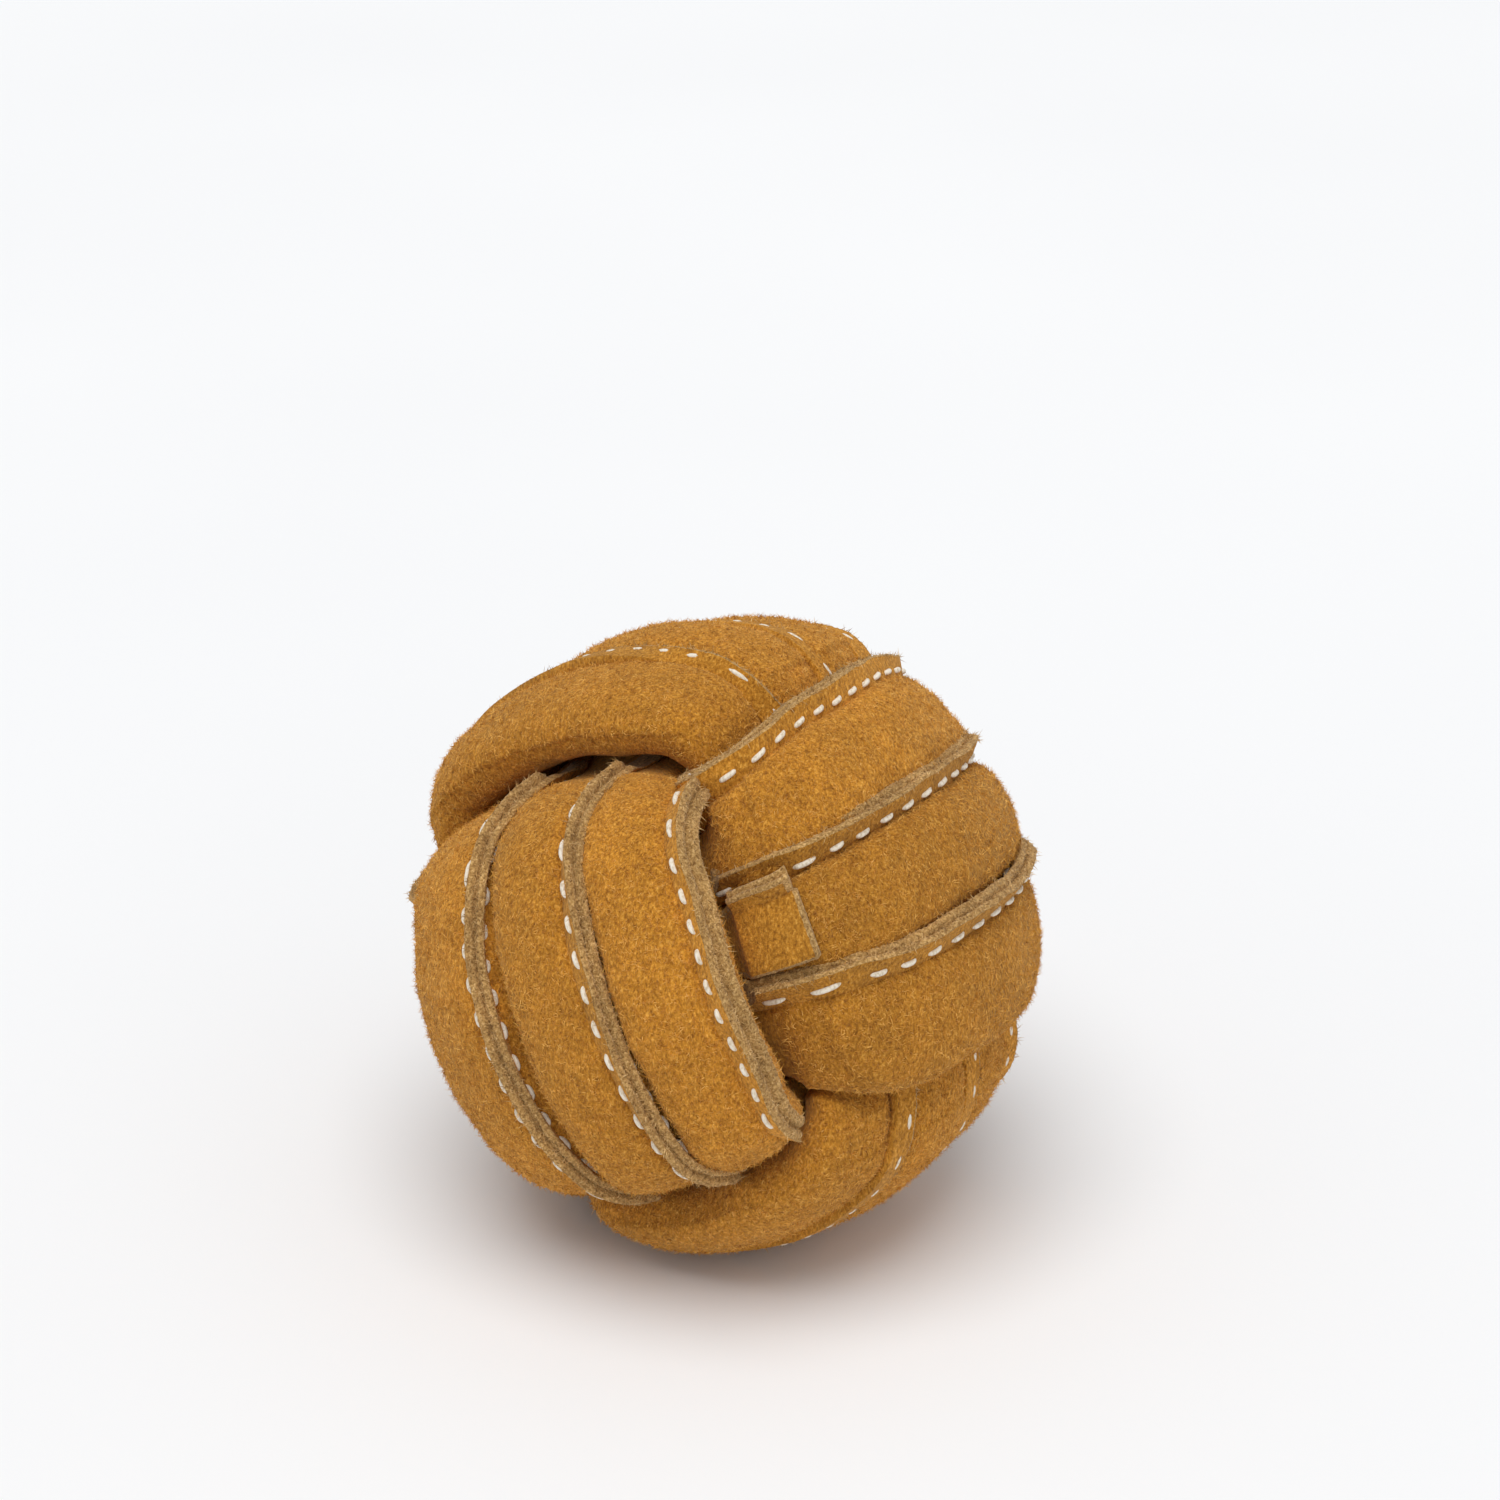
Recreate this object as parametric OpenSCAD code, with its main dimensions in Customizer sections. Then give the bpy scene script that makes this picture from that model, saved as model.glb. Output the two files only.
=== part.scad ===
// Hand-size exercise ball knotted from stuffed suede strips, in millimetres, +Z up.
//
// Three bands wrap a round core at right angles to each other, and each band has three turns
// that lie side by side. Every band passes over one of its neighbours and under the other, so
// none of them can come off: left over right, right over top, top over left.
// A turn is a suede strip folded round a filler, with its two raw edges sewn together into a
// standing seam. The origin is on the small flat on which the ball rests, straight below the
// middle of the knot.
//
// In the knot's own axes the left band faces -Y, the right band +X and the top band +Z.
// The whole knot is then tipped and turned into its resting attitude.

/* [Knot] */
// Distance between neighbouring turns of one band
pitch = 14.1; // [14:0.1:14.8]
// Width of one turn across its band
strand_w = 12.6; // [11:0.1:12.8]
// Thickness of one turn from its outside to its inside
strand_t = 9.1; // [8:0.1:9.2]
// Height of the middle turn above the ball's centre, where it runs over
over_h = 38.9; // [38.8:0.1:40]
// Height of the middle turn above the ball's centre, where it runs under
under_h = 27; // [26.9:0.1:27.2]
// How much lower the two outer turns of a band lie
outer_drop = 1.2; // [1:0.1:1.3]
// Radius of the arc that a turn follows where it runs over
crown_r = 58; // [55:1:65]
// Radius of the bend where a turn dives under the next band
dive_r = 9.5; // [9:0.1:10]
// Lean of the outer turns, so that they lie squarer to the round face, in degrees
outer_lean = 6; // [4:1:8]

/* [Suede] */
// Thickness of the suede
suede = 1.3; // [1.2:0.1:1.5]
// How far the folded seam stands from the filler
seam_h = 3.8; // [3:0.1:4]
// Lean of the seam towards the next turn, in degrees
seam_lean = 55; // [50:1:60]
// Distance of the seam from the middle of the turn
seam_at = 3; // [2.5:0.1:3.2]
// How far round the dive the seam still stands, in degrees
seam_dive = 22; // [10:1:25]
// Gap between pieces that only touch
touch = 0.1; // [0.05:0.05:0.2]
// How much slimmer all round every other stretch of a turn is
squeeze = 0.1; // [0.05:0.05:0.15]

/* [Stitching] */
// Thickness of the sewing thread
thread_d = 0.6; // [0.4:0.05:0.8]
// Height of the stitching up the seam
stitch_h = 2.6; // [2.3:0.1:2.8]

/* [Lapped end] */
// Width of the flat cut end across the turn that it lies on
tab_w = 8; // [6:0.5:9]
// Distance of its upper edge from the middle of that turn
tab_edge = 2.3; // [1:0.1:2.4]
// Length of the cut end that shows beside the left band, in degrees round the turn
tab_show = 6; // [4:1:10]
// Length of the cut end that is tucked under the left band, in degrees round the dive
tab_tuck = 25; // [10:1:30]

/* [Core] */
// Diameter of the core ball
core_d = 44; // [40:1:44]

/* [Rest] */
// Tip of the knot about its left-to-back axis, in degrees
knot_tip = 25; // [22:1:26]
// Turn of the tipped knot about the vertical, in degrees
knot_turn = -35; // [-180:1:180]
// Depth to which the suede is pressed flat where the ball rests
rest_flat = 1; // [0.9:0.05:1.05]

/* [Hidden] */
$fn = 60;
BANDS = ["left", "right", "top"];
TURNS = [0 : 2];

suede_colour = [0.72, 0.49, 0.20];
edge_colour = [0.66, 0.49, 0.28];
filler_colour = [0.90, 0.87, 0.80];
thread_colour = [0.93, 0.90, 0.82];
core_colour = [0.32, 0.30, 0.28];

// How far the ends of the fuller stretches run on into the slimmer ones, in degrees and mm
run_on = 1.5;
run_on_length = 0.3;

// Each quarter of a turn is half of the over arc, a dive, and half of the straight under run
bend_reach = crown_r - dive_r;
function drop(side) = abs(side) * outer_drop;
function dive_y(side) = under_h - drop(side) - dive_r;
function over_half(side) = asin(dive_y(side) / bend_reach);
function arc_centre(side) = [over_h - drop(side) - crown_r, 0];
function dive_centre(side) =
    arc_centre(side) + bend_reach * [cos(over_half(side)), sin(over_half(side))];

// The lowest point of the knot, on the underside of the top band's middle turn
lowest = dive_centre(0) + (dive_r + strand_t / 2) * [cos(knot_tip), sin(knot_tip)];
rest_h = lowest * [cos(knot_tip), sin(knot_tip)] - rest_flat;

// The stitching is left out this far to each side of the lowest point and above the floor
bare_reach = 19;
bare_h = 6;

// One arc of a section that stands along +X at the radius r
module sweep_arc(centre, r, from, to) {
    translate(centre)
        rotate([0, 0, from])
            rotate_extrude(angle = to - from)
                translate([r, 0])
                    children();
}

// The whole path of one turn: its section's +X faces out and its +Y faces along the offset.
// The children are the sections of its four stretches: the over arc, the dive while the seam
// still stands, the rest of the dive, and the under run. Neighbouring stretches differ by the
// squeeze and run on into each other.
module turn_path(side) {
    dive = dive_centre(side);
    over = over_half(side);
    seam_end = over + seam_dive;
    translate([0, 0, side * pitch])
        for (half = [0, 180])
            rotate([0, 0, half]) {
                sweep_arc(arc_centre(side), crown_r, -over, over)
                    rotate(side * outer_lean) children(0);
                for (far = [0, 1])
                    mirror([0, far, 0]) {
                        sweep_arc(dive, dive_r, over - run_on, seam_end + run_on)
                            rotate(side * outer_lean) children(1);
                        sweep_arc(dive, dive_r, seam_end, 90)
                            rotate(side * outer_lean) children(2);
                    }
                translate([-dive[0] - run_on_length, under_h - drop(side), 0])
                    rotate([90, 0, 90])
                        linear_extrude(2 * (dive[0] + run_on_length))
                            rotate(side * outer_lean) children(3);
            }
}

// A flat-sided oval, t through and w across
module oval(t, w) {
    square([t, w - t], center = true);
    for (end = [-1, 1])
        translate([0, end * (w - t) / 2])
            circle(d = t);
}

// Places the seam's own axes: +X up the seam from the filler, +Y across it
module on_seam() {
    translate([strand_t / 2 - suede, seam_at])
        rotate(seam_lean)
            children();
}

module filler_section(slim) {
    hollow = 2 * (suede + touch + slim);
    oval(strand_t - hollow, strand_w - hollow);
}

// The folded suede, with the standing seam where it isn't pressed flat
module casing_section(slim, seam) {
    wall = suede - slim;
    difference() {
        union() {
            oval(strand_t - 2 * slim, strand_w - 2 * slim);
            if (seam)
                on_seam()
                    translate([0, -wall - touch / 2])
                        square([seam_h - slim, 2 * wall + touch]);
        }
        oval(strand_t - 2 * suede + 2 * slim, strand_w - 2 * suede + 2 * slim);
        if (seam)
            on_seam()
                translate([-suede, -touch / 2 - slim])
                    square([seam_h + 2 * suede, touch + 2 * slim]);
    }
}

// The two threads of the lock stitch, one on each face of the seam
module stitching_section(slim) {
    for (face = [-1, 1])
        on_seam()
            translate([stitch_h, face * (suede + touch + thread_d / 2)])
                circle(d = thread_d - 2 * slim);
}

// Each band in the knot's own axes
module in_band(band) {
    turns = [[90, 0, 90], [0, 0, 0], [-90, -90, 0]];
    rotate(turns[band])
        children();
}

// The resting attitude, with the middle of the ball above the origin
module at_rest() {
    translate([0, 0, rest_h])
        rotate([0, -knot_tip, knot_turn])
            children();
}

// Keeps what stands above the floor
module pressed_flat() {
    difference() {
        children();
        translate([-crown_r, -crown_r, -crown_r])
            cube([2 * crown_r, 2 * crown_r, crown_r]);
    }
}

// Leaves out what lies where the seams are pressed flat
module off_the_flat() {
    difference() {
        children();
        rotate(knot_turn)
            translate([lowest * [sin(knot_tip), -cos(knot_tip)] - bare_reach, -crown_r, -crown_r])
                cube([2 * bare_reach, 2 * crown_r, crown_r + bare_h]);
    }
}

module casing(band, turn) {
    color(suede_colour)
        pressed_flat()
            at_rest()
                in_band(band)
                    turn_path(turn - 1) {
                        casing_section(0, true);
                        casing_section(squeeze, true);
                        casing_section(0, false);
                        casing_section(squeeze, false);
                    }
}

module filler(band, turn) {
    color(filler_colour)
        at_rest()
            in_band(band)
                turn_path(turn - 1) {
                    filler_section(0);
                    filler_section(squeeze);
                    filler_section(0);
                    filler_section(squeeze);
                }
}

// The stitching runs where the seam stands
module stitching(band, turn) {
    side = turn - 1;
    over = over_half(side);
    color(thread_colour)
        off_the_flat()
            at_rest()
                in_band(band)
                    translate([0, 0, side * pitch])
                        for (half = [0, 180])
                            rotate([0, 0, half]) {
                                sweep_arc(arc_centre(side), crown_r, -over, over)
                                    rotate(side * outer_lean) stitching_section(0);
                                for (far = [0, 1])
                                    mirror([0, far, 0])
                                        sweep_arc(dive_centre(side), dive_r,
                                                over - run_on, over + seam_dive)
                                            rotate(side * outer_lean) stitching_section(squeeze);
                            }
}

// The flat cut end of a strip, which follows the crown of the turn under it
module lapped_end() {
    over = over_half(0);
    color(edge_colour)
        at_rest()
            in_band(1)
                mirror([0, 1, 0]) {
                    sweep_arc(arc_centre(0), crown_r, over - tab_show, over)
                        tab_section(0);
                    sweep_arc(dive_centre(0), dive_r, over - run_on, over + tab_tuck)
                        tab_section(squeeze);
                }
}

module tab_section(slim) {
    translate([strand_t / 2 + touch + slim, tab_edge - tab_w + slim])
        square([suede - 2 * slim, tab_w - 2 * slim]);
}

module core_ball() {
    color(core_colour)
        at_rest()
            sphere(d = core_d);
}

for (band = [0 : 2], turn = TURNS) {
    casing(band, turn);
    filler(band, turn);
    stitching(band, turn);
}
lapped_end();
core_ball();
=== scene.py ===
"""The looks of a hand-size ball knotted from stuffed suede strips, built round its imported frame.

Everything is shaped in the knot's own axes, in millimetres: the left band faces -Y, the right
band +X and the top band +Z. A ring has local axes of its own: it runs over along x, under along
y, and its turns are offset along z, with each standing seam on the +z side.
"""
import math

import bpy
import numpy as np
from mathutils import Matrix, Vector


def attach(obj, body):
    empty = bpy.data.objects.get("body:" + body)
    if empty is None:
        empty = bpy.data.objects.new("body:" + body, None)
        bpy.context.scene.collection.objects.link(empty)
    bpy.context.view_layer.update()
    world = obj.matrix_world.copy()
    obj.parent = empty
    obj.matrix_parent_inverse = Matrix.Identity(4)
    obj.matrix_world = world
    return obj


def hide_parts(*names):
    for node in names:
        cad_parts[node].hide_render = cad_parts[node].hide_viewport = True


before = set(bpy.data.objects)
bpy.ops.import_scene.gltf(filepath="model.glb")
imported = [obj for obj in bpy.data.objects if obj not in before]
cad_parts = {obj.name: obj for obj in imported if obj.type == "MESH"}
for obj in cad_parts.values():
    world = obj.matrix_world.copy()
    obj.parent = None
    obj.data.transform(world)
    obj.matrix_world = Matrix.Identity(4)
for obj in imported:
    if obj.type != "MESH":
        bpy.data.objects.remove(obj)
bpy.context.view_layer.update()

MM = 0.001

# The knot, in millimetres and degrees. Values in threes are for a band's turns, from side -1 to 1
BANDS = ("left", "right", "top")
SIDES = (-1, 0, 1)
KNOT_TIP, KNOT_TURN = 25.0, -35.0
REST_H = 44.6  # the middle of the ball above the floor
LEAST_Z = 0.02  # what would lie lower is pressed flat at this height

# Where a turn lies to the side of its band's middle. A band draws in towards its dives
SPREAD = {"left": (-20.5, 0.0, 16.0), "right": (-18.2, 0.0, 16.0), "top": (-16.0, 0.0, 16.0)}
SHIFT = {"left": 4.4, "right": 5.2, "top": 4.5}
FRONT = {"left": -1, "right": 1, "top": 1}
NARROWING, NARROWS_FROM, NARROWS_OVER = 0.2, 12, 40

# A turn's section: half its width and thickness, and how square its outline is
HALF_W = {"left": (12.4, 9.6, 9.6), "right": (11.2, 9.6, 9.6), "top": (9.8, 9.6, 9.6)}
HALF_T = 6.1
SMOOTH_SQUARENESS, SEAM_SQUARENESS = 2.6, 2.1
LEAN_SHARE = 0.75  # how far a turn beside the middle leans to stay square to the ball

# A turn's distance from the ball's middle, and the angles between which it dives
OVER_R, UNDER_R = 40.0, 28.4
OVER_DROP, UNDER_DROP = 0.010, 0.011
DIVE_FROM, DIVE_TO = 29.0, 64.0
SWIRL = {"left": 7.0, "right": -9.0, "top": 13.0}
FULL_END, FULL_END_AT, FULL_END_OVER = 3.2, -48, 24  # the bulge of the top band's front turn

# How turns press each other: the share of the one on top, and how soft the creases are
OVER_YIELD = 0.6
CREASE_BESIDE, CREASE_ACROSS = 1.1, 3.3
LEAST_SHARE, PRESS_REACH = 0.35, 1.8
HALVINGS, CLEAR_HALVINGS = 16, 14

# The surface of the suede, as pairs of a height and a wavelength
SWELLS = ((0.022, 26), (0.010, 9))
GUTTER, GUTTER_IN, GUTTER_W = 0.55, 0.7, 0.9
RELIEF = ((0.03, 2.2, 24), (0.035, 1.0, 28))
N_ALONG, N_ROUND = 640, 84
HIDDEN_DENSITY = 0.35  # how close the sections are where a turn is hidden
FILLING = 0.78

# The seams: where a seam's foot is, its thickness, its height, and its lean in degrees
SEAM_FOOT = {"left": (9.6, 7.0, 7.0), "right": (9.0, 8.6, 8.2), "top": (6.2, 7.8, 7.4)}
SEAM_T = {"left": (2.8, 2.8, 3.7), "right": (2.7, 2.7, 2.6), "top": (2.6, 2.6, 2.6)}
SEAM_H = {"left": (2.1, 2.1, 2.3), "right": (3.0, 3.0, 2.8), "top": (1.6, 1.6, 2.2)}
SEAM_LEAN = {"left": (60, 50, 52), "right": (54, 50, 56), "top": (100, 96, 76)}
SEAM_SUNK = 2.0
SEAM_REACH = 64.0
FAR_REACH = {"left": 44.0, "right": 45.0, "top": 64.0}
CUT_END_AT = 214.5  # the free end of the left band's outer seam
STANDS_UP, STANDS_AT, STANDS_OVER = 50, 30, 11  # where the top band's front seam stands up
SEAM_ROWS = 330
LEAN_WAVES = ((5, 30), (1.5, 8))
RISE_WAVES = ((0.05, 22), (0.02, 5))
FACE_ROUGH, RAW_ROUGH, SEAM_ROUGH_LENGTH = 0.02, 0.03, 0.75
ROUGH_WAVES = 26
SEAM_ROOM = 1.02  # the fullness of a crossing turn at which a seam stops

# The stitches
STITCH_PITCH, STITCH_LENGTH, STITCH_D = 5.1, 3.1, 0.84
STITCH_UP = {"left": 0.5, "right": 0.3, "top": 0.45}
STITCH_PROUD = {"left": 0.16, "right": 0.16, "top": -0.28}
STITCH_DIP = 0.55  # how far a stitch's ends go into the suede
STITCH_SLANT, STITCH_JITTER = (0.12, 0.05), 0.06
STITCH_ROOM = 0.97

# The loose fibres of the nap, which stand only on the outside of the ball
NAP_PER_MM2 = 4.0
NAP_FROM = 39.5
NAP_D, NAP_ROOT = 0.16, 0.12
NAP_LENGTH, NAP_LIFT = (0.5, 1.35), (0.15, 0.70)
NAP_CELL = 1.2  # larger cells only close an open grid's ends


def smoothstep(t):
    t = np.clip(t, 0, 1)
    return t * t * (3 - 2 * t)


def waves(points, wavelength, seed, count=20):
    """A smooth random field with a spread of about 1, summed from plane waves."""
    rng = np.random.default_rng(seed)
    directions = rng.normal(size=(count, 3))
    directions /= np.linalg.norm(directions, axis=1, keepdims=True)
    k = directions * rng.uniform(0.7, 1.4, (count, 1)) * 2 * math.pi / wavelength
    phase = rng.uniform(0, 2 * math.pi, count)
    return np.sin(points @ k.T + phase).sum(axis=-1) * math.sqrt(2 / count)


# ---------------------------------------------------------------- rings


def off_crown(angle, band):
    """Degrees from the nearer crown of a ring. The turns across it lie a little off centre."""
    angle = angle + math.radians(SWIRL[band]) * np.sin(angle) ** 2
    return np.degrees(np.abs((angle + math.pi / 2) % math.pi - math.pi / 2))


def offset(angle, band, side):
    """How far a turn lies to the side of the knot's middle. Its band draws in where it dives."""
    near_dive = smoothstep((off_crown(angle, band) - NARROWS_FROM) / NARROWS_OVER)
    spread = SPREAD[band][side + 1] * (1 - NARROWING * near_dive)
    return spread + SHIFT[band] * FRONT[band] * np.cos(angle)


def side_lean(angle, band, side):
    """A turn that lies off the middle leans outwards, to stay square to the ball."""
    return LEAN_SHARE * np.arcsin(offset(angle, band, side) / OVER_R)


def ring_line(phi, band, side):
    """Centreline of a turn at the angles phi (radians): points and outward normals in its plane."""
    def at(angle):
        over = smoothstep((DIVE_TO - off_crown(angle, band)) / (DIVE_TO - DIVE_FROM))
        far = offset(angle, band, side) ** 2
        low, high = UNDER_R - far * UNDER_DROP, OVER_R - far * OVER_DROP
        r = low + (high - low) * over
        if (band, side) == ("top", -1):
            from_front = np.degrees((angle + math.pi) % (2 * math.pi) - math.pi)
            r = r + FULL_END * np.exp(-((from_front - FULL_END_AT) / FULL_END_OVER) ** 2)
        return np.stack([r * np.cos(angle), r * np.sin(angle)], axis=-1)
    step = 1e-3
    along = at(phi + step) - at(phi - step)
    along /= np.linalg.norm(along, axis=-1, keepdims=True)
    return at(phi), np.stack([along[..., 1], -along[..., 0]], axis=-1)


def to_knot(points, band):
    return points[..., {"left": [2, 0, 1], "right": [0, 1, 2], "top": [1, 2, 0]}[band]]


def to_ring(points, band):
    return points[..., {"left": [1, 2, 0], "right": [0, 1, 2], "top": [2, 0, 1]}[band]]


class DistanceTable:
    """Signed distance outward from a ring's centreline, looked up in its plane."""

    reach, step = 58.0, 0.8

    def __init__(self, band, side):
        axis = np.arange(-self.reach, self.reach + self.step, self.step)
        x, y = np.meshgrid(axis, axis, indexing="ij")
        angles = np.linspace(0, 2 * math.pi, 720, endpoint=False)
        line, normal = ring_line(angles, band, side)
        self.values = np.empty(x.shape)
        for row in range(len(axis)):
            off = np.stack([x[row], y[row]], -1)[:, None] - line
            nearest = np.argmin((off ** 2).sum(-1), axis=1)
            picked = off[np.arange(len(axis)), nearest]
            sign = np.sign((picked * normal[nearest]).sum(-1))
            self.values[row] = sign * np.linalg.norm(picked, axis=-1)

    def __call__(self, x, y):
        last = len(self.values) - 2
        fx = np.clip((x + self.reach) / self.step, 0, last)
        fy = np.clip((y + self.reach) / self.step, 0, last)
        ix, iy = fx.astype(int), fy.astype(int)
        tx, ty = fx - ix, fy - iy
        v = self.values
        near = v[ix, iy] * (1 - ty) + v[ix, iy + 1] * ty
        far = v[ix + 1, iy] * (1 - ty) + v[ix + 1, iy + 1] * ty
        return near * (1 - tx) + far * tx


TABLES = {(band, side): DistanceTable(band, side) for band in BANDS for side in SIDES}


def squareness(v):
    """A turn is fuller on its smooth side than where its seam gathers it."""
    return np.where(v < 0, SMOOTH_SQUARENESS, SEAM_SQUARENESS)


def fullness(points, band, side):
    """0 on a turn's centreline, 1 on its unpressed surface."""
    p = to_ring(points, band)
    out = TABLES[band, side](p[..., 0], p[..., 1])
    angle = np.arctan2(p[..., 1], p[..., 0])
    aside = p[..., 2] - offset(angle, band, side)
    lean = side_lean(angle, band, side)
    u = out * np.cos(lean) + aside * np.sin(lean)
    v = aside * np.cos(lean) - out * np.sin(lean)
    n = squareness(v)
    return (np.abs(u / HALF_T) ** n + np.abs(v / HALF_W[band][side + 1]) ** n) ** (1 / n)


def section_frame(phi, band, side):
    """Centres and the outward and sideways axes of a turn's sections, in the knot's axes."""
    line, normal = ring_line(phi, band, side)
    lean = side_lean(phi, band, side)[:, None]
    centre = np.column_stack([line, offset(phi, band, side)])
    out = np.column_stack([normal * np.cos(lean), np.sin(lean)])
    aside = np.column_stack([-normal * np.sin(lean), np.cos(lean)])
    return [to_knot(a, band) for a in (centre, out, aside)]


def over_under(a, b):
    """How much of a press band a takes next to band b: the one underneath gives way more."""
    if a == b:
        return 1.0
    goes_over = BANDS[(BANDS.index(a) + 1) % 3] == b
    return OVER_YIELD if goes_over else 1 / OVER_YIELD


def pressed(points, centres, band, side):
    """The points of a turn's surface, moved in towards its centres where other turns press it."""
    spoke = points - centres
    half = np.linalg.norm(spoke, axis=-1)
    push = np.zeros(half.shape)
    for other in BANDS:
        for other_side in SIDES:
            if (other, other_side) == (band, side):
                continue
            if other == band and abs(other_side - side) > 1:
                continue
            near = fullness(points, other, other_side) < PRESS_REACH
            if not near.any():
                continue
            share = over_under(band, other)
            c, s = centres[near], spoke[near]
            low, high = np.full(len(s), LEAST_SHARE), np.full(len(s), PRESS_REACH)
            for _ in range(HALVINGS):
                mid = (low + high) / 2
                inside = 1 - fullness(c + s * mid[:, None], other, other_side)
                too_far = (1 - mid) < share * inside
                high = np.where(too_far, mid, high)
                low = np.where(too_far, low, mid)
            depth = (1 - (low + high) / 2) * half[near]
            crease = CREASE_BESIDE if other == band else CREASE_ACROSS
            soft = (depth + np.sqrt(depth ** 2 + crease ** 2)) / 2
            push[near] = np.maximum(push[near], soft)
    return points - spoke * (push / half)[..., None]


def kept_clear(points, feet, band, side, room):
    """The points of a seam or tab, moved towards their feet until no crossing turn holds them."""
    points = points.copy()
    for other in BANDS:
        for other_side in SIDES:
            if other == band:
                continue
            caught = fullness(points, other, other_side) < room
            if not caught.any():
                continue
            f, s = feet[caught], (points - feet)[caught]
            low, high = np.zeros(len(s)), np.ones(len(s))
            for _ in range(CLEAR_HALVINGS):
                mid = (low + high) / 2
                bad = fullness(f + s * mid[:, None], other, other_side) < room
                high = np.where(bad, mid, high)
                low = np.where(bad, low, mid)
            points[caught] = f + s * low[:, None]
    return points


# ---------------------------------------------------------------- meshes


def signed_volume(points, faces):
    total = 0.0
    for face in faces:
        a = points[face[:, 0]]
        for k in range(1, face.shape[1] - 1):
            total += np.einsum("ij,ij->", a, np.cross(points[face[:, k]], points[face[:, k + 1]]))
    return total


def grid_faces(rows, columns, closed, start):
    """The quads of a tube of points that starts at the index start, one for each cell."""
    i = np.arange(rows if closed else rows - 1)[:, None]
    j = np.arange(columns)[None, :]
    i1, j1 = (i + 1) % rows, (j + 1) % columns
    corners = [i * columns + j, i1 * columns + j, i1 * columns + j1, i * columns + j1]
    return start + np.stack([np.broadcast_to(c, (i.size, j.size)) for c in corners], -1)


def place(points):
    """From the knot's axes in millimetres to the row frame in metres, not below the floor."""
    tip, turn = math.radians(-KNOT_TIP), math.radians(KNOT_TURN)
    about_y = np.array([[math.cos(tip), 0, math.sin(tip)], [0, 1, 0],
                        [-math.sin(tip), 0, math.cos(tip)]])
    about_z = np.array([[math.cos(turn), -math.sin(turn), 0],
                        [math.sin(turn), math.cos(turn), 0], [0, 0, 1]])
    placed = points @ (about_z @ about_y).T + [0, 0, REST_H]
    placed[..., 2] = np.maximum(placed[..., 2], LEAST_Z)
    return placed * MM


def add_object(name, points, faces, materials):
    """One object of the knot, from points in the row frame."""
    mesh = bpy.data.meshes.new(name)
    mesh.from_pydata(points.tolist(), [], faces)
    for material in materials:
        mesh.materials.append(material)
    mesh.update()
    obj = bpy.data.objects.new(name, mesh)
    bpy.context.scene.collection.objects.link(obj)
    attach(obj, "root")
    return obj


def solid(name, grids, materials, closed=False):
    """One object from tubes of points (rows along, columns round), their ends capped unless closed.
    Each grid comes with the material index of its faces, one per column or one per face."""
    points, faces, which, start = [], [], [], 0
    for grid, face_material in grids:
        rows, columns = grid.shape[:2]
        index = np.broadcast_to(face_material, (rows if closed else rows - 1, columns)).ravel()
        parts = [grid_faces(rows, columns, closed, start).reshape(-1, 4)]
        if not closed:
            ring = start + np.arange(columns)
            parts += [ring[None, :], (ring[::-1] + (rows - 1) * columns)[None, :]]
        flat = place(grid.reshape(-1, 3))
        if signed_volume(flat - flat.mean(0), [part - start for part in parts]) < 0:
            parts = [part[:, ::-1] for part in parts]
        points.append(flat)
        for part in parts:
            faces += part.tolist()
        which += index.tolist() + [int(index.max())] * (0 if closed else 2)
        start += rows * columns
    obj = add_object(name, np.concatenate(points), faces, materials)
    obj.data.polygons.foreach_set("material_index", which)
    obj.data.polygons.foreach_set("use_smooth", [True] * len(faces))
    obj.data.update()
    return obj


# ---------------------------------------------------------------- turns


def ring_angles(count, band):
    """Angles round a ring, closer together where the turn shows."""
    fine = np.linspace(0, 2 * math.pi, 3600, endpoint=False)
    weight = np.where(off_crown(fine, band) < DIVE_TO, 1.0, HIDDEN_DENSITY)
    total = np.concatenate([[0], np.cumsum(weight)])
    return np.interp(np.arange(count) / count * total[-1], total, np.append(fine, 2 * math.pi))


def oval_point(angle, band, side):
    """A point of the section's outline, as (outward, sideways)."""
    c, s = np.cos(angle), np.sin(angle)
    n = squareness(s)
    k = (np.abs(c) ** n + np.abs(s) ** n) ** (-1 / n)
    return HALF_T * c * k, HALF_W[band][side + 1] * s * k


def crown(v, band, side):
    """Height of the section's outline at the distance v sideways."""
    n = squareness(v)
    return HALF_T * (1 - np.abs(v / HALF_W[band][side + 1]) ** n) ** (1 / n)


def turn_surface(phi, around, band, side):
    seed = 100 * BANDS.index(band) + 10 * (side + 1)
    centre, out, aside = section_frame(phi, band, side)
    u, v = oval_point(around, band, side)
    shape = (len(phi), len(around))
    centres = np.broadcast_to(centre[:, None], shape + (3,))
    spokes = out[:, None] * u[None, :, None] + aside[:, None] * v[None, :, None]
    points = centres + spokes
    (swell, swell_length), (ripple, ripple_length) = SWELLS
    plump = 1 + swell * waves(points, swell_length, seed + 1)
    plump = plump + ripple * waves(points, ripple_length, seed + 2)
    foot = SEAM_FOOT[band][side + 1]
    gutter = GUTTER * np.exp(-((v - foot + GUTTER_IN) / GUTTER_W) ** 2) * (u > 0)
    plump = plump - (gutter / np.hypot(u, v))[None, :]
    points = pressed(centres + spokes * plump[..., None], centres, band, side)
    outward = (points - centres) / np.linalg.norm(points - centres, axis=-1, keepdims=True)
    relief = sum(height * waves(points, length, seed + 3 + i, count)
                 for i, (height, length, count) in enumerate(RELIEF))
    return points + outward * relief[..., None]


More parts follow.
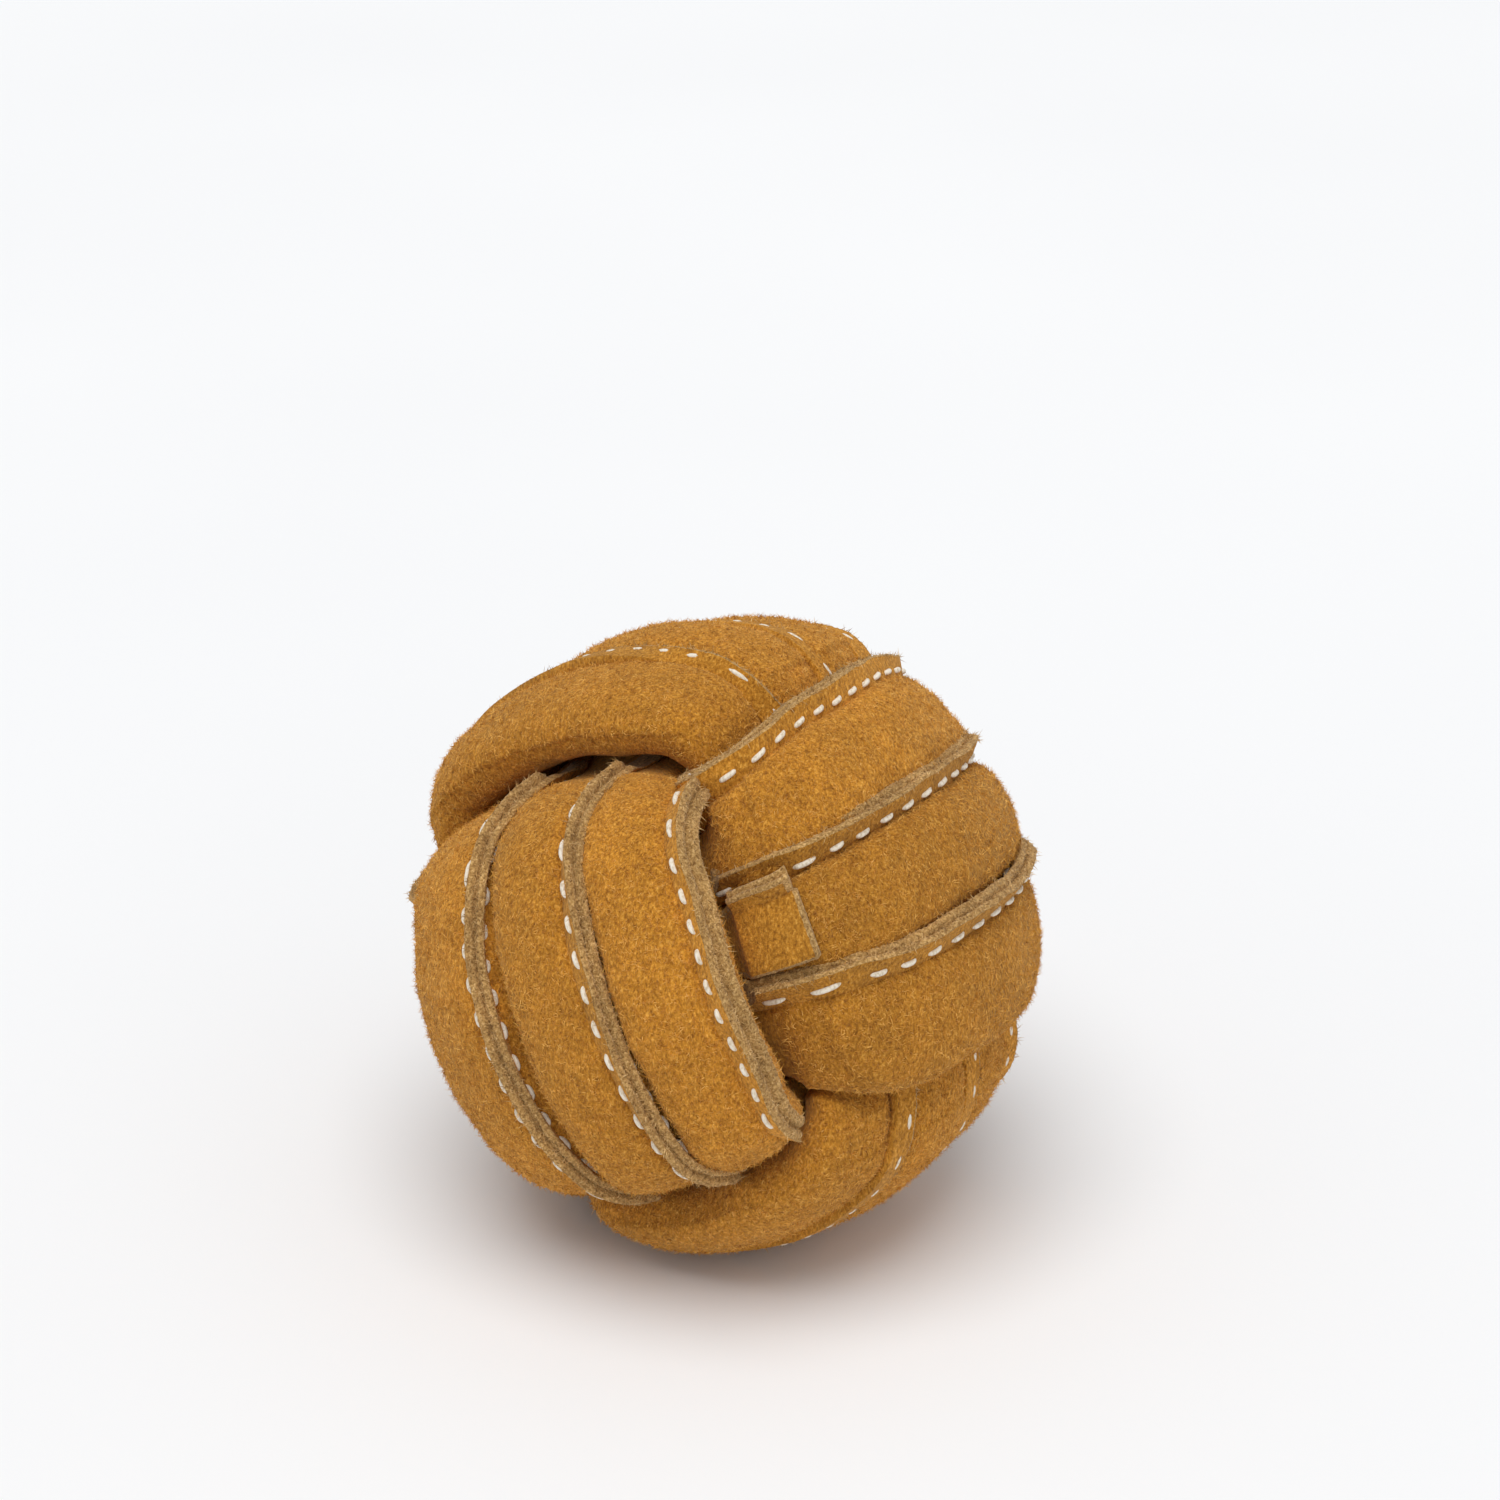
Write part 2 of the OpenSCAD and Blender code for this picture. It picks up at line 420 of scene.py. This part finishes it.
def nap_roots(grid, allowed, rng):
    """Random points on the shown cells of a grid of points, with the normals there."""
    a, b = grid, np.roll(grid, -1, axis=0)
    c, d = np.roll(b, -1, axis=1), np.roll(grid, -1, axis=1)
    normal = np.cross(c - a, d - b)
    area = np.linalg.norm(normal, axis=-1) / 2
    shown = (np.linalg.norm(a, axis=-1) > NAP_FROM) & (area < NAP_CELL) & allowed[None, :]
    chance = (area * shown).ravel()
    count = int(chance.sum() * NAP_PER_MM2)
    picks = rng.choice(chance.size, count, p=chance / chance.sum())
    a, b, c, d = [corner.reshape(-1, 3)[picks] for corner in (a, b, c, d)]
    s, t = rng.random((2, count, 1))
    root = a * (1 - s) * (1 - t) + b * s * (1 - t) + c * s * t + d * (1 - s) * t
    normal = normal.reshape(-1, 3)[picks]
    normal /= np.linalg.norm(normal, axis=1, keepdims=True)
    normal *= np.sign((normal * root).sum(1, keepdims=True))
    return root, normal


def make_nap(name, band, side, grid, allowed, material):
    """Loose fibres of a turn's or seam's nap: slim closed cones that lie almost flat on it."""
    rng = np.random.default_rng(2000 + 10 * BANDS.index(band) + side + 100 * len(allowed))
    root, normal = nap_roots(grid, allowed, rng)
    clear = np.full(len(root), True)
    for other in BANDS:
        for other_side in SIDES:
            if (other, other_side) != (band, side):
                clear &= fullness(root + normal * 0.5, other, other_side) > 1.0
    root, normal = root[clear], normal[clear]
    count = len(root)
    lie = rng.normal(size=(count, 3))
    lie -= normal * (lie * normal).sum(1, keepdims=True)
    lie /= np.linalg.norm(lie, axis=1, keepdims=True)
    beside = np.cross(normal, lie)
    length = rng.uniform(*NAP_LENGTH, (count, 1))
    lift = rng.uniform(*NAP_LIFT, (count, 1)) * length
    tip = root + lie * length + normal * lift
    low = root - normal * NAP_ROOT
    ring = [low + NAP_D / 2 * (normal * math.sin(turn) + beside * math.cos(turn))
            for turn in np.radians([90, 210, 330])]
    points = place(np.stack(ring + [tip], axis=1).reshape(-1, 3))
    first = 4 * np.arange(count)[:, None]
    faces = np.concatenate([first + [0, 1, 3], first + [1, 2, 3], first + [2, 0, 3],
                            first + [0, 2, 1]])
    return add_object(name, points, faces.tolist(), [material])


def make_turn(band, side):
    number = side + 2
    around = np.linspace(0, 2 * math.pi, N_ROUND, endpoint=False)
    grid = turn_surface(ring_angles(N_ALONG, band), around, band, side)
    name = f"{band}_suede_{number}"
    obj = solid(name, [(grid, np.zeros(N_ROUND, int))], [suede(name, LIGHT_AND_TONE[band][side + 1])],
                closed=True)
    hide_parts(f"{band}_casing_{number}")
    nap = make_nap(f"{band}_nap_{number}", band, side, grid, np.full(N_ROUND, True),
                   loose_nap("suede_nap", *SUEDE_NAP))
    centre = grid.mean(axis=1, keepdims=True)
    inner = (centre + (grid - centre) * FILLING)[::3, ::3]
    filling = solid(f"{band}_filling_{number}", [(inner, np.zeros(inner.shape[1], int))],
                    [wadding()], closed=True)
    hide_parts(f"{band}_filler_{number}")


# ---------------------------------------------------------------- seams and stitches


def seam_axes(phi, band, side):
    """Feet of the seam, and the axes up it and across it, in the knot's axes."""
    centre, out, aside = section_frame(phi, band, side)
    foot_v = SEAM_FOOT[band][side + 1]
    foot = centre + out * float(crown(foot_v, band, side)) + aside * foot_v
    seed = 300 + 100 * BANDS.index(band) + 10 * side
    lean = SEAM_LEAN[band][side + 1]
    for part, (sway, length) in enumerate(LEAN_WAVES):
        lean = lean + sway * waves(foot, length, seed + part)
    if (band, side) == ("top", -1):
        lean = lean - STANDS_UP * np.exp(-((np.degrees(phi) - STANDS_AT) / STANDS_OVER) ** 2)
    lean = np.radians(lean)[:, None]
    up = out * np.cos(lean) + aside * np.sin(lean)
    across = aside * np.cos(lean) - out * np.sin(lean)
    return centre, foot, up, across


def seam_profile(top, thick):
    """Outline of the folded seam as (up, across) and which points are raw edge. It is two layers
    with a slit between them."""
    half = thick / 2
    side_up = np.linspace(-SEAM_SUNK, top - 0.2, 14)
    lobe = [(top - 0.04, half - 0.04), (top + 0.02, half - 0.25), (top + 0.03, half * 0.68),
            (top + 0.02, half * 0.5), (top - 0.06, half * 0.28), (top - 0.8, 0.04)]
    right = [(p, half) for p in side_up] + lobe
    left = [(p, -q) for p, q in reversed(right)]
    outline = np.array(right + left)
    raw = np.zeros(len(outline), int)
    raw[len(side_up) - 1:len(outline) - len(side_up)] = 1
    return outline, raw


def seam_spans(band, side):
    """Where each standing seam begins and ends round the ring, in degrees. One has a cut end."""
    slip = -SWIRL[band]
    far = 180 if band == "right" else 0
    spans = []
    for half in (0, 180):
        reach = FAR_REACH[band] if half == far else SEAM_REACH
        spans.append([half - reach + slip, half + reach + slip])
    if (band, side) == ("left", 1):
        spans[1][1] = CUT_END_AT
    if (band, side) == ("right", 1):
        spans[0][1] -= 6
    return spans


def seam_grid(phi, band, side, outline):
    centre, foot, up, across = seam_axes(phi, band, side)
    seed = 700 + 100 * BANDS.index(band) + 10 * side
    rise = 1
    for part, (swell, length) in enumerate(RISE_WAVES):
        rise = rise + swell * waves(foot, length, seed + part)
    height = np.where(outline[:, 0] > 0, outline[:, 0], 0) * rise[:, None]
    sunk = np.minimum(outline[:, 0], 0)[None, :]
    points = (foot[:, None] + up[:, None] * (height + sunk)[..., None]
              + across[:, None] * outline[None, :, 1, None])
    feet = np.broadcast_to(centre[:, None], points.shape)
    return points, feet


def make_seam(band, side):
    number = side + 2
    outline, raw = seam_profile(SEAM_H[band][side + 1], SEAM_T[band][side + 1])
    grids = []
    seed = 900 + 100 * BANDS.index(band) + 10 * side
    for begin, end in seam_spans(band, side):
        phi = np.radians(np.linspace(begin, end, SEAM_ROWS))
        points, feet = seam_grid(phi, band, side, outline)
        rough = FACE_ROUGH + RAW_ROUGH * raw
        for axis in range(3):
            points[..., axis] += rough * waves(points, SEAM_ROUGH_LENGTH, seed + axis, ROUGH_WAVES)
        points = kept_clear(points, feet, band, side, SEAM_ROOM)
        grids.append((points, raw))
    name = f"{band}_seam_{number}"
    obj = solid(name, grids, [suede(name, LIGHT_AND_TONE[band][side + 1]), raw_edge()])
    fringe = loose_nap("edge_nap", *EDGE_NAP)
    for part, (points, edge) in enumerate(grids):
        nap = make_nap(f"{band}_fringe_{number}_{part + 1}", band, side, points, edge > 0, fringe)


def capsule(along_steps=10, around_steps=8):
    """A stitch's shape as (along, radius) pairs and angles round it."""
    t = np.linspace(-1, 1, along_steps)
    radius = STITCH_D / 2 * np.clip(1 - np.abs(t) ** 4, 0.02, 1) ** 0.5
    return t, radius, np.linspace(0, 2 * math.pi, around_steps, endpoint=False)


def make_stitches(band, side):
    number = side + 2
    t, radius, turn = capsule()
    grids = []
    rng = np.random.default_rng(40 + 10 * BANDS.index(band) + side)
    radius_over = OVER_R + HALF_T
    step = math.degrees(STITCH_PITCH / radius_over)
    for begin, end in seam_spans(band, side):
        for middle in np.arange(begin + 2 + rng.uniform(0, step), end - 2, step):
            for face in (-1, 1):
                phi = np.radians(middle + (0.5 * step if face > 0 else 0)
                                 + t * math.degrees(STITCH_LENGTH / 2 / radius_over))
                centre, foot, up, across = seam_axes(phi, band, side)
                slant = rng.normal(*STITCH_SLANT)
                level = STITCH_UP[band] + rng.normal(0, STITCH_JITTER) + slant * t
                proud = SEAM_T[band][side + 1] / 2 + STITCH_PROUD[band]
                bulge = proud - STITCH_DIP * np.abs(t) ** 3
                core = foot + up * level[:, None] + across * (face * bulge)[:, None]
                ring = (up[:, None] * np.cos(turn)[None, :, None]
                        + across[:, None] * np.sin(turn)[None, :, None])
                grid = core[:, None] + ring * radius[:, None, None]
                inside = min(fullness(grid, other, s).min() for other in BANDS if other != band
                             for s in SIDES)
                if inside > STITCH_ROOM:
                    grids.append((grid, np.zeros(len(turn), int)))
    name = f"{band}_stitches_{number}"
    obj = solid(name, grids, [thread()])
    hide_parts(f"{band}_stitching_{number}")


# ---------------------------------------------------------------- the lapped end

# Where the cut end lies on its turn: from its free edge to its tucked end in degrees, and its
# two sides in millimetres from the middle of the turn
TAB_FROM, TAB_TO = -31.0, -62.0
TAB_LOW, TAB_HIGH = -4.7, 5.6
TAB_T, TAB_CUT = 1.5, 0.45
TAB_COLUMNS = 26
TAB_ROUGH, TAB_ROUGH_LENGTH = 0.035, 0.8
TAB_ROOM = 1.06
LIP_FOOT, LIP_H, LIP_T, LIP_LEAN = 6.0, 2.7, 2.1, 56.0
LIP_SUNK = 0.7


def roughened(points, seed):
    """The points with the fine roughness of cut suede added."""
    for axis in range(3):
        points[..., axis] += TAB_ROUGH * waves(points, TAB_ROUGH_LENGTH, seed + axis, ROUGH_WAVES)
    return points


def tab_grid(band, side):
    """The flat cut end, round the crown of the turn under it, and the faces of its cut edges."""
    cut = math.degrees(TAB_CUT / (OVER_R + HALF_T))
    degrees = np.concatenate([np.linspace(TAB_FROM, TAB_FROM - cut, 6),
                              np.linspace(TAB_FROM - cut, TAB_TO, 90)[1:]])
    phi = np.radians(degrees)
    centre, out, aside = section_frame(phi, band, side)
    into = np.clip((TAB_FROM - degrees) / cut, 0, 1)
    across = np.linspace(TAB_LOW, TAB_HIGH, TAB_COLUMNS)
    waist = 0.5 * np.exp(-((degrees - TAB_FROM + 8) / 6) ** 2)
    v = np.concatenate([across, across[::-1]])
    upper = np.concatenate([np.ones(TAB_COLUMNS), np.zeros(TAB_COLUMNS)])
    edge = np.clip((across - TAB_LOW) / 0.8, 0, 1) * np.clip((TAB_HIGH - across) / 0.6, 0, 1)
    edge = np.concatenate([0.45 + 0.55 * edge ** 0.5] * 2)
    thick = TAB_T * (0.45 + 0.55 * into[:, None] ** 0.6) * edge[None, :]
    lift = 0.25 + 0.35 * np.exp(-((degrees[:, None] - TAB_FROM) / 7) ** 2)
    sag = 0.25 * np.sin((v - TAB_LOW) / (TAB_HIGH - TAB_LOW) * math.pi)
    u = crown(v * 0.93, band, side)[None, :] + lift - sag[None, :] + upper * thick
    v = v[None, :] + waist[:, None] * np.where(v < 0, 0.6, 0)[None, :]
    v = v + 0.5 * (across.mean() - v) * 0.12 * (1 - into[:, None])
    points = (centre[:, None] + out[:, None] * u[..., None] + aside[:, None] * v[..., None])
    points = roughened(points, 1500)
    feet = np.broadcast_to(centre[:, None], points.shape)
    points = kept_clear(points, feet, band, side, TAB_ROOM)
    cut_rows = (degrees[:-1] > TAB_FROM - cut + 1e-6)[:, None]
    sides = (upper > 0) & (np.abs(v[0] - TAB_LOW) < 0.5)
    return points, np.broadcast_to(cut_rows | sides[None, :], (len(phi) - 1, len(upper))) * 1


def lip_grid(band, side):
    """The bit of standing seam on the cut end, which curls up at its corner."""
    outline = seam_profile(LIP_H, LIP_T)[0]
    outline = outline[outline[:, 0] > -LIP_SUNK]
    raw = np.where(outline[:, 0] > LIP_H - 0.3, 1, 0)
    first = TAB_FROM - 0.4
    degrees = np.linspace(first, TAB_TO, 90)
    centre, out, aside = section_frame(np.radians(degrees), band, side)
    near_end = np.exp(-(first - degrees) / 2.5)
    lean = np.radians(LIP_LEAN - 16 * near_end + 3 * np.sin(degrees))[:, None]
    foot = (centre + out * (float(crown(LIP_FOOT, band, side)) + 1.55)
            + aside * (LIP_FOOT - 0.5 + 0.9 * near_end)[:, None])
    up = out * np.cos(lean) + aside * np.sin(lean)
    across = aside * np.cos(lean) - out * np.sin(lean)
    height = outline[:, 0] * (1 + 0.14 * near_end[:, None])
    points = (foot[:, None] + up[:, None] * height[..., None]
              + across[:, None] * outline[None, :, 1, None])
    points = roughened(points, 1600)
    points = kept_clear(points, np.broadcast_to(centre[:, None], points.shape), band, side,
                        TAB_ROOM)
    end_rows = (degrees[:-1] > first - 0.6)[:, None]
    return points, np.broadcast_to(raw[None, :] | end_rows, (len(degrees) - 1, len(raw))) * 1


def make_lapped_end():
    """The flat cut end of a strip, on the middle turn of the right band, and its bit of seam."""
    grids = [tab_grid("right", 0), lip_grid("right", 0)]
    obj = solid("lapped_suede", grids, [suede("lapped_suede", LAPPED_TINT), raw_edge()])
    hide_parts("lapped_end")


# ---------------------------------------------------------------- materials

# Factors on each turn's suede colour, which its seam shares, from side -1 to 1. They are partly
# painted light and shade and partly each turn's own tone. The top band's second and third turns are
# painted lighter, standing in for light from above.
LIGHT_AND_TONE = {"left": (1.15, 1.06, 1.16), "right": (0.95, 0.92, 1.12), "top": (1.04, 1.20, 1.20)}
LAPPED_TINT = 1.0
SUEDE_NAP = ((0.34, 0.13, 0.015), (0.62, 0.29, 0.045), (0.92, 0.54, 0.14))
EDGE_NAP = ((0.22, 0.11, 0.03), (0.50, 0.29, 0.10), (0.86, 0.60, 0.28))
MATERIALS = {}


class Nodes:
    """A short way to build a material's node tree."""

    def __init__(self, name):
        self.material = bpy.data.materials.new(name)
        self.material.use_nodes = True
        self.tree = self.material.node_tree
        self.tree.nodes.clear()
        self.coords = self.tree.nodes.new("ShaderNodeTexCoord").outputs["Object"]

    def add(self, kind, inputs=(), **settings):
        node = self.tree.nodes.new("ShaderNode" + kind)
        for key, value in settings.items():
            setattr(node, key, value)
        for key, value in dict(inputs).items():
            if isinstance(value, bpy.types.NodeSocket):
                self.tree.links.new(value, node.inputs[key])
            else:
                node.inputs[key].default_value = value
        return node

    def noise(self, scale, detail=2.0, roughness=0.5, stretch=None, distortion=0.0):
        vector = self.coords
        if stretch:
            vector = self.add("Mapping", {"Vector": vector, "Scale": stretch}).outputs["Vector"]
        return self.add("TexNoise", {"Vector": vector, "Scale": scale, "Detail": detail,
                                     "Roughness": roughness, "Distortion": distortion}).outputs["Fac"]

    def ramp(self, factor, stops):
        node = self.add("ValToRGB", {"Fac": factor})
        elements = node.color_ramp.elements
        while len(elements) < len(stops):
            elements.new(0.5)
        for element, (place_at, colour) in zip(elements, stops):
            element.position = place_at
            element.color = (*colour, 1)
        return node.outputs["Color"]

    def mix(self, a, b, factor, mode="MIX"):
        node = self.add("Mix", data_type="RGBA", blend_type=mode)
        for socket, value in ((0, factor), (6, a), (7, b)):
            if isinstance(value, bpy.types.NodeSocket):
                self.tree.links.new(value, node.inputs[socket])
            else:
                node.inputs[socket].default_value = value
        return node.outputs[2]

    def bump(self, height, strength, distance, normal=None):
        inputs = {"Height": height, "Strength": strength, "Distance": distance}
        if normal is not None:
            inputs["Normal"] = normal
        return self.add("Bump", inputs).outputs["Normal"]

    def finish(self, colour, normal, roughness, sheen=0.0, sheen_tint=(1, 1, 1)):
        shader = self.add("BsdfPrincipled", {
            "Base Color": colour, "Normal": normal, "Roughness": roughness,
            "Specular IOR Level": 0.15, "Sheen Weight": sheen, "Sheen Roughness": 0.5,
            "Sheen Tint": (*sheen_tint, 1)})
        self.add("OutputMaterial", {"Surface": shader.outputs[0]})
        return self.material


def grey(value):
    return (value, value, value)


def suede(name, light_and_tone):
    """Napped suede: short fibres in streaks, brushed patches, and a paler bloom on the nap. Each
    turn's colour is also scaled lighter or darker, partly by painted light and shade.
    """
    n = Nodes(name)
    fibres = n.noise(2500, 3, 0.62, stretch=(1, 1, 0.6), distortion=0.3)
    specks = n.noise(5200, 2, 0.6)
    patches = n.noise(70, 3, 0.55)
    brushed = n.noise(330, 2, 0.5, distortion=0.6)
    base = n.ramp(fibres, [(0.30, (0.25, 0.090, 0.008)), (0.44, (0.42, 0.170, 0.016)),
                           (0.56, (0.55, 0.235, 0.026)), (0.74, (0.80, 0.41, 0.075))])
    speckled = n.ramp(specks, [(0.36, grey(0.84)), (0.62, grey(1.12))])
    colour = n.mix(base, speckled, 0.75, "MULTIPLY")
    # Random patches of tone, scaled by the turn's factor of painted light and shade
    patches_and_painted_light = n.ramp(patches, [(0.36, grey(0.91 * light_and_tone)), (0.66, grey(1.08 * light_and_tone))])
    colour = n.mix(colour, patches_and_painted_light, 1.0, "MULTIPLY")
    stroke = n.ramp(brushed, [(0.38, grey(0.92)), (0.62, grey(1.07))])
    colour = n.mix(colour, stroke, 0.9, "MULTIPLY")
    normal = n.bump(fibres, 0.65, 0.0005)
    normal = n.bump(specks, 0.4, 0.0003, normal)
    rough = n.ramp(patches, [(0.3, grey(0.86)), (0.7, grey(0.97))])
    return n.finish(colour, normal, rough, 0.2, (1.0, 0.82, 0.48))


def loose_nap(name, dark, middle, pale):
    """The loose fibres that stand off the suede, each a shade of its own."""
    if name not in MATERIALS:
        n = Nodes(name)
        strands = n.noise(900, 2, 0.5)
        colour = n.ramp(strands, [(0.3, dark), (0.5, middle), (0.7, pale)])
        MATERIALS[name] = n.finish(colour, n.bump(strands, 0.1, 0.0001), 0.9, 0.1)
    return MATERIALS[name]


def raw_edge():
    """The cut edge of the suede: paler, greyer and more fibrous than its face."""
    if "raw_edge" not in MATERIALS:
        n = Nodes("raw_edge")
        fibres = n.noise(2600, 3, 0.65, distortion=0.4)
        patches = n.noise(160, 2, 0.5)
        base = n.ramp(fibres, [(0.30, (0.17, 0.082, 0.022)), (0.43, (0.36, 0.195, 0.060)),
                               (0.56, (0.54, 0.315, 0.108)), (0.72, (0.82, 0.55, 0.24))])
        shade = n.ramp(patches, [(0.35, grey(0.88)), (0.65, grey(1.12))])
        colour = n.mix(base, shade, 1.0, "MULTIPLY")
        normal = n.bump(fibres, 0.7, 0.0004)
        MATERIALS["raw_edge"] = n.finish(colour, normal, 0.95, 0.2, (1.0, 0.9, 0.75))
    return MATERIALS["raw_edge"]


def thread():
    """White sewing thread with a fine twist."""
    if "thread" not in MATERIALS:
        n = Nodes("thread")
        twist = n.noise(2600, 2, 0.5, stretch=(1, 1, 0.4))
        colour = n.ramp(twist, [(0.3, (0.60, 0.49, 0.34)), (0.5, (0.84, 0.76, 0.62)),
                                (0.72, (0.91, 0.85, 0.74))])
        MATERIALS["thread"] = n.finish(colour, n.bump(twist, 0.6, 0.0002), 0.6, 0.1)
    return MATERIALS["thread"]


def wadding():
    """Spun cotton cord, which fills the turns."""
    if "wadding" not in MATERIALS:
        n = Nodes("wadding")
        strands = n.noise(700, 3, 0.6, stretch=(1, 1, 0.3))
        colour = n.ramp(strands, [(0.3, (0.62, 0.56, 0.46)), (0.7, (0.88, 0.84, 0.76))])
        MATERIALS["wadding"] = n.finish(colour, n.bump(strands, 0.8, 0.001), 0.95, 0.2)
    return MATERIALS["wadding"]


def rubber():
    """Dark moulded rubber, for the core."""
    if "rubber" not in MATERIALS:
        n = Nodes("rubber")
        grain = n.noise(1800, 3, 0.6)
        colour = n.ramp(grain, [(0.3, (0.05, 0.045, 0.04)), (0.7, (0.10, 0.09, 0.08))])
        MATERIALS["rubber"] = n.finish(colour, n.bump(grain, 0.3, 0.0003), 0.7)
    return MATERIALS["rubber"]


def floor_material():
    n = Nodes("floor")
    mottle = n.noise(3, 2, 0.5)
    colour = n.ramp(mottle, [(0.3, (0.90, 0.90, 0.905)), (0.7, (0.93, 0.93, 0.932))])
    return n.finish(colour, n.bump(mottle, 0.02, 0.001), 0.8)


# ---------------------------------------------------------------- stage

# The camera looks down at the ball from a distance in millimetres. The ball's middle lies to the
# side of and below the middle of the frame, in pixels of a frame of this side
CAMERA_PITCH = 24.0
CAMERA_AWAY = 558.0
CAMERA_LENS, SENSOR = 90.1, 36
FRAME_SIDE = 1500
BALL_ASIDE, BALL_BELOW = -24, 180

# The soft light: the sky, and two suns by where they stand, their spread in degrees and strength
SKY_COLOUR, SKY_STRENGTH = (0.96, 0.98, 1.0), 0.50
SUNS = {"key": ((-0.08, -0.38, 1.15), 46, 1.78), "fill": ((0.9, -0.9, 0.7), 60, 0.22)}
FLOOR_HALF = 4.0


def make_stage():
    scene = bpy.context.scene
    scene.view_settings.view_transform = "Standard"
    mesh = bpy.data.meshes.new("floor")
    half = FLOOR_HALF
    mesh.from_pydata([(-half, -half, 0), (half, -half, 0), (half, half, 0), (-half, half, 0)],
                     [], [(0, 1, 2, 3)])
    floor = bpy.data.objects.new("floor", mesh)
    mesh.materials.append(floor_material())
    scene.collection.objects.link(floor)

    world = bpy.data.worlds.new("studio")
    scene.world = world
    world.use_nodes = True
    background = world.node_tree.nodes["Background"]
    background.inputs["Color"].default_value = (*SKY_COLOUR, 1)
    background.inputs["Strength"].default_value = SKY_STRENGTH

    middle = Vector((0, 0, REST_H * MM))
    for name, (away, spread, strength) in SUNS.items():
        data = bpy.data.lights.new(name, "SUN")
        data.angle = math.radians(spread)
        data.energy = strength
        lamp = bpy.data.objects.new(name, data)
        lamp.location = Vector(away)
        lamp.rotation_euler = (middle - lamp.location).to_track_quat("-Z", "Y").to_euler()
        scene.collection.objects.link(lamp)


def make_camera():
    pitch = math.radians(CAMERA_PITCH)
    right = Vector((1, 0, 0))
    ahead = Vector((0, math.cos(pitch), -math.sin(pitch)))
    up = right.cross(ahead)
    focal = CAMERA_LENS / SENSOR * FRAME_SIDE
    towards = ahead + right * (BALL_ASIDE / focal) - up * (BALL_BELOW / focal)
    data = bpy.data.cameras.new("camera")
    data.lens = CAMERA_LENS
    data.clip_start, data.clip_end = 0.01, 50
    camera = bpy.data.objects.new("camera", data)
    middle = Vector((0, 0, REST_H * MM))
    camera.location = middle - towards.normalized() * CAMERA_AWAY * MM
    camera.rotation_euler = (math.radians(90) - pitch, 0, 0)
    bpy.context.scene.collection.objects.link(camera)
    bpy.context.scene.camera = camera


# ---------------------------------------------------------------- the model

make_camera()
make_stage()
for band in BANDS:
    for side in SIDES:
        make_turn(band, side)
        make_seam(band, side)
        make_stitches(band, side)
make_lapped_end()
for node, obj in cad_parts.items():
    material = wadding() if "_filler_" in node else rubber() if node == "core_ball" else raw_edge()
    obj.data.materials.clear()
    obj.data.materials.append(material)
